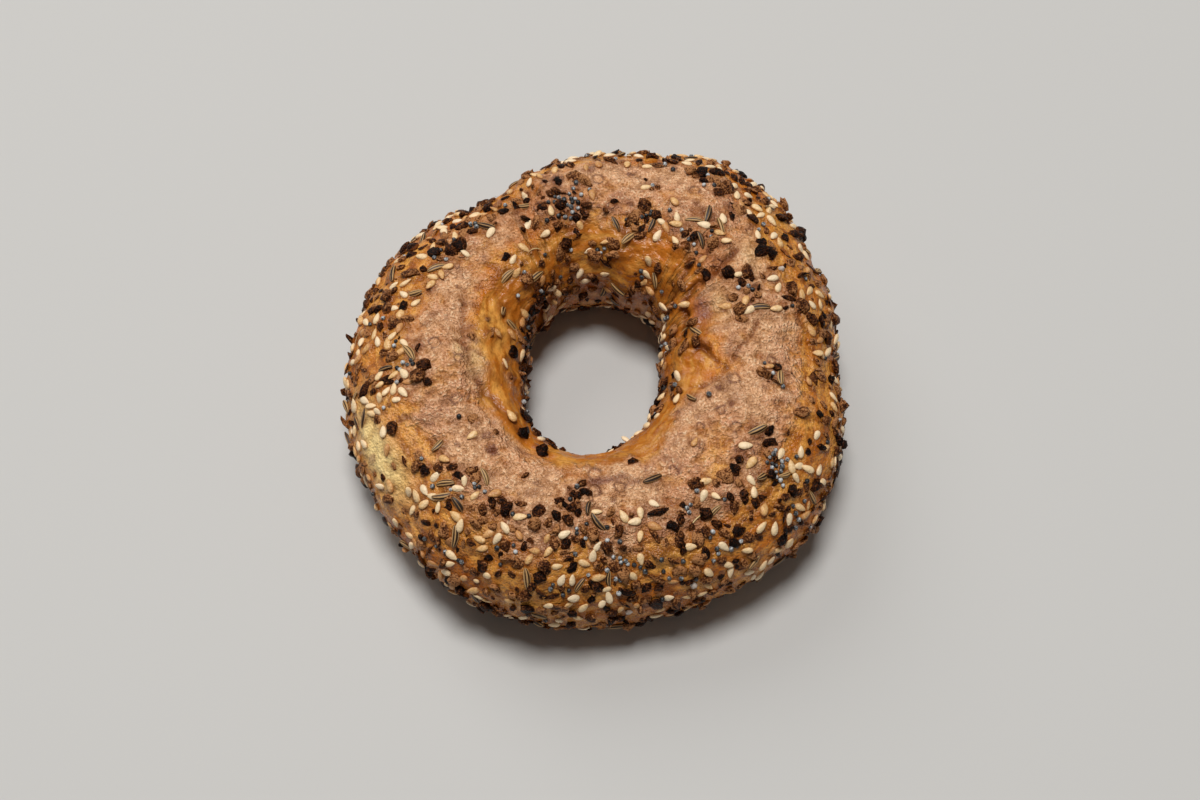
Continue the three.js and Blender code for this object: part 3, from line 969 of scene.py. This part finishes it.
FINE_DEPTH, FINE_SHADE = 0.6, 1.4  # of the fine dents, against the coarse ones
SALT_BREADTH, SALT_WIDTH, SALT_THICKNESS = 0.8, 0.8, 0.6
SALT_CORNER, SALT_CHIPPING = 0.22, 0.09
NOISE_ROOM = 50  # how far apart in the noise two variants of a kind can lie
VARIANTS_APART = 100  # between the draws for two shapes of a kind


def shade(form, values):
    """Marks light and dark on a topping's form, from -1 to 1."""
    layer = form.verts.layers.float.new("shade")
    for vert, value in zip(form.verts, values):
        vert[layer] = value


def spindle(form, segments, taper, width, thickness):
    """A seed, narrowed towards +X by the taper."""
    bmesh.ops.create_uvsphere(form, u_segments=segments, v_segments=SEED_ROWS, radius=0.5,
                              matrix=Matrix.Rotation(math.pi / 2, 4, "Y"))
    for vert in form.verts:
        girth = 1 - taper * (vert.co.x + 0.5) ** TIP_SHARPNESS
        vert.co.y *= girth * width
        vert.co.z *= girth * thickness


def sesame_form(form, chance):
    """A flat teardrop, painted lighter on top and darker at its rim and tip: partly toasting, partly
    painted shade.
    """
    width = chance.uniform(*SESAME_WIDTH)
    spindle(form, SESAME_SIDES, chance.uniform(*SESAME_TAPER), width, SESAME_THICKNESS)
    to_rim = [(2 * vert.co.x) ** 2 + (2 * vert.co.y / width) ** 2 for vert in form.verts]
    shade(form, [rim ** 2 + SESAME_TIP_SHADE * vert.co.x for rim, vert in zip(to_rim, form.verts)])


def poppy_form(form, chance):
    """A round seed with a dented, speckled skin."""
    bmesh.ops.create_icosphere(form, subdivisions=2, radius=0.5)
    shift = Vector((chance.uniform(0, NOISE_ROOM), 0, 0))
    for vert in form.verts:
        vert.co *= 1 + POPPY_DENT_DEPTH * noise.noise(vert.co * POPPY_DENTS + shift)
    shade(form, [noise.noise(vert.co * POPPY_SPECKLES + shift) * 2 for vert in form.verts])


def crumpled(form, chance, depth):
    """Pushes a form's corners in and out, and marks painted shade where it lies deeper and painted light
    where it stands out.
    """
    shift = Vector((chance.uniform(0, NOISE_ROOM), chance.uniform(0, NOISE_ROOM), 0))
    coarse = [noise.noise(vert.co * COARSE_DENTS + shift) for vert in form.verts]
    fine = [noise.noise(vert.co * FINE_DENTS + shift) for vert in form.verts]
    for vert, large, small in zip(form.verts, coarse, fine):
        vert.co *= 1 + depth * (large + FINE_DEPTH * small)
    shade(form, [large + FINE_SHADE * small for large, small in zip(coarse, fine)])


def bend(form, curl):
    """Curls a form's ends up or down."""
    for vert in form.verts:
        vert.co.z += curl * vert.co.x ** 2


def nugget_form(form, chance):
    """A wrinkled crumb of toasted onion or garlic."""
    bmesh.ops.create_icosphere(form, subdivisions=2, radius=NUGGET_RADIUS)
    crumpled(form, chance, FLAKE_DENT_DEPTH)
    width, thickness = chance.uniform(*NUGGET_WIDTH), chance.uniform(*NUGGET_THICKNESS)
    bmesh.ops.scale(form, vec=(1, width, thickness), verts=form.verts)


def chip_form(form, chance):
    """A thin bent chip of toasted onion."""
    bmesh.ops.create_icosphere(form, subdivisions=2, radius=CHIP_RADIUS)
    crumpled(form, chance, FLAKE_DENT_DEPTH)
    bmesh.ops.scale(form, vec=(1, chance.uniform(*CHIP_WIDTH), CHIP_THICKNESS), verts=form.verts)
    bend(form, chance.uniform(*CHIP_CURL))


def shaving_form(form, chance):
    """A narrow curled shaving of onion."""
    bmesh.ops.create_icosphere(form, subdivisions=2, radius=SHAVING_RADIUS)
    crumpled(form, chance, SHAVING_DENT_DEPTH)
    bmesh.ops.scale(form, vec=(1, chance.uniform(*SHAVING_WIDTH), SHAVING_THICKNESS), verts=form.verts)
    bend(form, chance.uniform(*SHAVING_CURL))


def caraway_form(form, chance):
    """A curved seed with ribs along it."""
    spindle(form, CARAWAY_SIDES, CARAWAY_TAPER, CARAWAY_WIDTH, CARAWAY_THICKNESS)
    waves = [math.cos(CARAWAY_RIBS * math.atan2(vert.co.z, vert.co.y)) for vert in form.verts]
    bow = chance.uniform(*CARAWAY_BOW)
    for vert, wave in zip(form.verts, waves):
        vert.co.y *= 1 + CARAWAY_RIB_HEIGHT * wave
        vert.co.z *= 1 + CARAWAY_RIB_HEIGHT * wave
        vert.co.y -= bow * vert.co.x ** 2
    shade(form, waves)


def thread_form(form, chance):
    """A thin curl of pale onion skin."""
    spindle(form, THREAD_SIDES, THREAD_TAPER, THREAD_WIDTH, THREAD_THICKNESS)
    bow, rise = chance.uniform(*THREAD_BOW), chance.uniform(*THREAD_RISE)
    for vert in form.verts:
        vert.co.y += bow * vert.co.x ** 2
        vert.co.z += rise * vert.co.x ** 2
    shade(form, [0] * len(form.verts))


def salt_form(form, chance):
    """A flattened crystal with its corners knocked off."""
    bmesh.ops.create_cube(form, size=SALT_BREADTH)
    bmesh.ops.bevel(form, geom=form.edges[:], offset=SALT_CORNER, offset_type="OFFSET", segments=1,
                    profile=0.5, affect="EDGES", material=-1)
    for vert in form.verts:
        vert.co += Vector([chance.uniform(-SALT_CHIPPING, SALT_CHIPPING) for _ in range(3)])
    bmesh.ops.scale(form, vec=(1, SALT_WIDTH, SALT_THICKNESS), verts=form.verts)
    shade(form, [0] * len(form.verts))


def topping_forms(shapes, draw):
    """Corners, faces and shades of the variants of a topping. Shapes lists (function, variants)."""
    forms = []
    for number, (shape, variants) in enumerate(shapes):
        for variant in range(variants):
            form = bmesh.new()
            shape(form, random.Random(draw + VARIANTS_APART * number + variant))
            layer = form.verts.layers.float["shade"]
            corners = np.array([vert.co[:] for vert in form.verts])
            shades = np.array([vert[layer] for vert in form.verts])
            faces = [[vert.index for vert in face.verts] for face in form.faces]
            forms.append((corners, faces, shades))
            form.free()
    return forms


def strew(context, name, kind, material, shapes, sink, tilt, sharp_angle=180):
    """Adds all toppings of one kind as a piece, joined in one mesh.

    Sink is how high their middles lie above the crust, from and to, as a share of their length. Tilt
    is how far they typically lean, in degrees, and edges past the sharp angle stay crisp.
    """
    settings = context.scene.bagel_toppings
    chance = random.Random(settings.draw + len(name))
    lengths = topping_lengths(settings)
    places = np.array(lay_out(settings.draw, lengths)[kind])
    points, normals = crust_frames(places[:, 0], places[:, 1])
    forms = topping_forms(shapes, settings.draw)
    corners, faces, tints, shades, lifts, count = [], [], [], [], [], 0
    for point, normal, growth in zip(points, normals, places[:, 2]):
        form_corners, form_faces, form_shades = chance.choice(forms)
        size = growth * dict(lengths)[kind]
        lean = tilt * (STANDING_LEAN if chance.random() < STANDING_SHARE else 1)
        turned = (Vector(normal).to_track_quat("Z", "Y").to_matrix()
                  @ Matrix.Rotation(chance.uniform(0, math.tau), 3, "Z")
                  @ Matrix.Rotation(math.radians(chance.gauss(0, lean)), 3, "Y")
                  @ Matrix.Rotation(math.radians(chance.gauss(0, lean)), 3, "X"))
        middle = point + normal * size * chance.uniform(*sink)
        laid = form_corners * size @ np.array(turned).T + middle
        laid[:, 2] -= max(0.0, laid[:, 2].max() - HIGHEST)
        laid[:, 2] = np.maximum(laid[:, 2], 0.0)
        corners.append(laid)
        faces += [[count + index for index in face] for face in form_faces]
        tints.append(np.full(len(laid), chance.random()))
        shades.append(form_shades)
        lifts.append((laid - point) @ normal)
        count += len(laid)
    mesh = bpy.data.meshes.new(name)
    mesh.from_pydata(np.concatenate(corners) * MM, [], faces)
    mesh.shade_smooth()
    mesh.set_sharp_from_angle(angle=math.radians(sharp_angle))
    for attribute, values in (("tint", tints), ("shade", shades), ("lift", lifts)):
        store(mesh, attribute, np.concatenate(values))
    add_piece(name, mesh, material)
    return {"FINISHED"}


def topping_material(name, colours, film, shading, graining, roughness, grain_size, relief,
                     ior=DRY_IOR):
    """A seed or flake whose colour runs over the colours from piece to piece.

    The dough's glaze climbs its foot and gives that the film's colour. Shading and graining are how
    far the light and dark marked on its form and its grain move it along the colours. On the flakes
    these are painted light and shade that follow their dents and rises, and on the sesame the marks
    are partly painted shade. The grain's size and its relief are in mm.
    """
    material, tree = new_material(name)
    place = add_node(tree, "ShaderNodeTexCoord").outputs["Object"]
    tone, shades, lift = (
        add_node(tree, "ShaderNodeAttribute", attribute_name=attribute).outputs["Fac"]
        for attribute in ("tint", "shade", "lift"))
    grain = add_node(tree, "ShaderNodeTexNoise", {
        "Vector": place, "Scale": 1 / (grain_size * MM), "Detail": 2.0}).outputs["Fac"]
    for pattern, strength in ((shades, shading), (grain, graining)):
        tone = add_node(tree, "ShaderNodeMath", {
            0: pattern, 1: strength, 2: tone}, operation="MULTIPLY_ADD").outputs[0]
    tone = add_node(tree, "ShaderNodeMath", {
        0: tone, 1: graining / 2}, operation="SUBTRACT").outputs[0]
    ramp = add_node(tree, "ShaderNodeValToRGB", {"Fac": tone})
    set_ramp(ramp, [(position, linear(colour)) for position, colour in colours])
    foot = add_node(tree, "ShaderNodeMapRange", {
        "Value": lift, "From Min": FILM_TOP, "From Max": FILM_FOOT, "To Max": FILM_SHARE},
        interpolation_type="SMOOTHSTEP").outputs[0]
    colour = add_node(tree, "ShaderNodeMix", {
        0: foot, 6: ramp.outputs["Color"], 7: rgba(linear(film))}, data_type="RGBA").outputs[2]
    bump = add_node(tree, "ShaderNodeBump", {
        "Height": grain, "Strength": 1.0, "Distance": relief * MM})
    shader = add_node(tree, "ShaderNodeBsdfPrincipled", {
        "Base Color": colour, "Roughness": roughness, "Normal": bump.outputs[0], "IOR": ior})
    finish_material(tree, shader)
    return material


class BAGEL_OT_flakes(bpy.types.Operator):
    """Strew the toasted onion and garlic flakes"""
    bl_idname = "bagel.flakes"
    bl_label = "Toasted Flakes"

    def execute(self, context):
        # Toasting left them wrinkled, porous and unevenly burnt, so they run from near black to
        # reddish brown and shine less than the seeds.
        # Their dents and the rises of their grain are painted lighter and their hollows darker: painted
        # light and shade.
        material = topping_material(
            "toasted_onion_and_garlic", film="#743C12", shading=0.4, graining=2.1, roughness=0.4,
            grain_size=0.42, relief=0.55, ior=CHARRED_IOR, colours=(
                (0.0, "#0D0300"), (0.3, "#3A1907"), (0.65, "#6C3D1B"), (1.0, "#BA8050")))
        return strew(
            context, "toasted_flakes", kind="flake", material=material,
            shapes=((nugget_form, 14), (chip_form, 6), (shaving_form, 3)), sink=(-0.02, 0.24), tilt=18)


class BAGEL_OT_sesame(bpy.types.Operator):
    """Strew the sesame seeds"""
    bl_idname = "bagel.sesame"
    bl_label = "Sesame Seeds"

    def execute(self, context):
        # Without their hulls they are smooth and oily, cream, with rims and tips drawn darker by toasting
        # and by painted shade.
        material = topping_material(
            "hulled_sesame", film="#C2803F", shading=0.26, graining=0.7, roughness=0.4,
            grain_size=0.5, relief=0.2, colours=(
                (0.0, "#FFE5BE"), (0.5, "#FAD7A4"), (0.8, "#E9B776"), (1.0, "#C98C52")))
        return strew(
            context, "sesame_seeds", kind="sesame", material=material,
            shapes=((sesame_form, 8),), sink=(0.08, 0.2), tilt=9)


class BAGEL_OT_poppy(bpy.types.Operator):
    """Strew the poppy seeds"""
    bl_idname = "bagel.poppy"
    bl_label = "Poppy Seeds"

    def execute(self, context):
        # Pits with pale ridges between them make them look dusty and blue grey.
        material = topping_material(
            "poppy_seed", film="#5B3A20", shading=0.5, graining=0.5, roughness=0.42,
            grain_size=0.3, relief=0.06, colours=(
                (0.0, "#1B1A1A"), (0.5, "#5E5F60"), (1.0, "#CFCFCC")))
        return strew(
            context, "poppy_seeds", kind="poppy", material=material,
            shapes=((poppy_form, 4),), sink=(0.25, 0.55), tilt=20)


class BAGEL_OT_caraway(bpy.types.Operator):
    """Strew the caraway seeds"""
    bl_idname = "bagel.caraway"
    bl_label = "Caraway Seeds"

    def execute(self, context):
        # The ribs are dry and pale and the skin between them is dark, which reads as stripes.
        material = topping_material(
            "caraway_seed", film="#7A4A1E", shading=1.0, graining=0.5, roughness=0.5,
            grain_size=0.5, relief=0.05, colours=(
                (0.0, "#2A190D"), (0.5, "#6B4727"), (1.0, "#C49C66")))
        return strew(
            context, "caraway_seeds", kind="caraway", material=material,
            shapes=((caraway_form, 5),), sink=(0.04, 0.12), tilt=9)


class BAGEL_OT_salt(bpy.types.Operator):
    """Strew the coarse salt"""
    bl_idname = "bagel.salt"
    bl_label = "Salt Crystals"

    def execute(self, context):
        # Pressed from many small crystals, it is cloudy white rather than clear, with a soft shine.
        material = topping_material(
            "coarse_salt", film="#C79A66", shading=0.0, graining=0.5, roughness=0.25,
            grain_size=0.9, relief=0.05, colours=((0.0, "#E4D9CC"), (1.0, "#C2B2A4")))
        return strew(
            context, "salt_crystals", kind="salt", material=material,
            shapes=((salt_form, 5),), sink=(0.1, 0.3), tilt=12, sharp_angle=30)


class BAGEL_OT_threads(bpy.types.Operator):
    """Strew the thin curls of onion skin"""
    bl_idname = "bagel.threads"
    bl_label = "Onion Threads"

    def execute(self, context):
        # The skin dried before it could brown, so it stays pale, with a papery shine.
        material = topping_material(
            "onion_skin", film="#B07A3E", shading=0.0, graining=0.5, roughness=0.4,
            grain_size=0.5, relief=0.02, colours=((0.0, "#E2C58A"), (1.0, "#B98A62")))
        return strew(
            context, "onion_threads", kind="thread", material=material,
            shapes=((thread_form, 6),), sink=(0.04, 0.12), tilt=14)


# ---- the stage -----------------------------------------------------------------------------------

FLOOR_REACH = 3.0  # m from the middle to each side
FLOOR_ROUGHNESS = 0.7
CAMERA_TARGET = (0.7, 0.2, 15.0)  # mm
CAMERA_SHIFT = (0.0026, -0.0158)
SENSOR_WIDTH = 36  # mm
NEAREST_SEEN, FARTHEST_SEEN = 0.01, 20  # m
LIGHT_DISTANCE = 2.5  # m
KEY_BREADTH, KEY_DIRECTION = 0.9, (-0.03, 0.13, 0.99)
WINDOW_BREADTH, WINDOW_DIRECTION = 1.8, (-0.45, 0.6, 0.66)
SKY_TINT = (1.0, 0.97, 0.93)


def stage_floor(settings):
    """A plain floor under the bagel."""
    form = bmesh.new()
    bmesh.ops.create_grid(form, x_segments=1, y_segments=1, size=FLOOR_REACH)
    mesh = bpy.data.meshes.new("floor")
    form.to_mesh(mesh)
    form.free()
    floor = bpy.data.objects.new("floor", mesh)
    bpy.context.scene.collection.objects.link(floor)
    # Matte paper takes the bagel's shadow and shows nothing of its own.
    material, tree = new_material("pale_floor")
    finish_material(tree, add_node(tree, "ShaderNodeBsdfPrincipled", {
        "Base Color": rgba(settings.floor_colour), "Roughness": FLOOR_ROUGHNESS}))
    mesh.materials.append(material)


def stage_light(name, breadth, power, direction):
    """A round soft light of the given breadth in m that shines from a direction on the bagel."""
    data = bpy.data.lights.new(name, "AREA")
    data.shape = "DISK"
    data.size = breadth
    data.energy = power
    light = bpy.data.objects.new(name, data)
    towards = Vector(direction).normalized()
    light.location = towards * LIGHT_DISTANCE
    light.rotation_euler = towards.to_track_quat("Z", "Y").to_euler()
    bpy.context.scene.collection.objects.link(light)


def stage_camera(settings):
    """A camera in front of the bagel that looks down on it."""
    data = bpy.data.cameras.new("camera")
    data.sensor_width = SENSOR_WIDTH
    data.lens = settings.lens
    data.clip_start, data.clip_end = NEAREST_SEEN, FARTHEST_SEEN
    data.shift_x, data.shift_y = CAMERA_SHIFT
    camera = bpy.data.objects.new("camera", data)
    elevation = settings.camera_elevation
    back = Vector((0, -math.cos(elevation), math.sin(elevation)))
    camera.location = Vector(CAMERA_TARGET) * MM + back * settings.camera_distance
    camera.rotation_euler = back.to_track_quat("Z", "Y").to_euler()
    bpy.context.scene.collection.objects.link(camera)
    bpy.context.scene.camera = camera


class BAGEL_OT_stage(bpy.types.Operator):
    """Set the floor, the lights and the camera"""
    bl_idname = "bagel.stage"
    bl_label = "Stage"

    def execute(self, context):
        settings = context.scene.bagel_stage
        stage_floor(settings)
        stage_camera(settings)
        stage_light("key", KEY_BREADTH, settings.key_power, KEY_DIRECTION)
        stage_light("window", WINDOW_BREADTH, settings.window_power, WINDOW_DIRECTION)
        world = bpy.data.worlds.new("studio")
        context.scene.world = world
        world.use_nodes = True
        background = world.node_tree.nodes["Background"]
        background.inputs["Color"].default_value = rgba(SKY_TINT)
        background.inputs["Strength"].default_value = settings.sky_strength
        context.scene.view_settings.view_transform = "Standard"
        return {"FINISHED"}


# ---- the add-on ----------------------------------------------------------------------------------

OPERATORS = (BAGEL_OT_crust, BAGEL_OT_flakes, BAGEL_OT_sesame, BAGEL_OT_poppy, BAGEL_OT_caraway,
             BAGEL_OT_salt, BAGEL_OT_threads, BAGEL_OT_stage)


class BAGEL_PT_panel(bpy.types.Panel):
    """The bagel's pieces in the sidebar"""
    bl_label = "Everything Bagel"
    bl_idname = "BAGEL_PT_panel"
    bl_space_type = "VIEW_3D"
    bl_region_type = "UI"
    bl_category = "Bagel"

    def draw(self, context):
        for operator in OPERATORS:
            self.layout.operator(operator.bl_idname)


SETTINGS = {
    "bagel_crust": BagelCrustSettings,
    "bagel_toppings": BagelToppingSettings,
    "bagel_stage": BagelStageSettings,
}
CLASSES = (*SETTINGS.values(), *OPERATORS, BAGEL_PT_panel)


def register():
    for cls in CLASSES:
        bpy.utils.register_class(cls)
    for name, group in SETTINGS.items():
        setattr(bpy.types.Scene, name, bpy.props.PointerProperty(type=group))


def unregister():
    for name in SETTINGS:
        delattr(bpy.types.Scene, name)
    for cls in reversed(CLASSES):
        bpy.utils.unregister_class(cls)


def main():
    register()
    bpy.ops.bagel.crust()
    bpy.ops.bagel.flakes()
    bpy.ops.bagel.sesame()
    bpy.ops.bagel.poppy()
    bpy.ops.bagel.caraway()
    bpy.ops.bagel.salt()
    bpy.ops.bagel.threads()
    bpy.ops.bagel.stage()


if __name__ == "__main__":
    main()
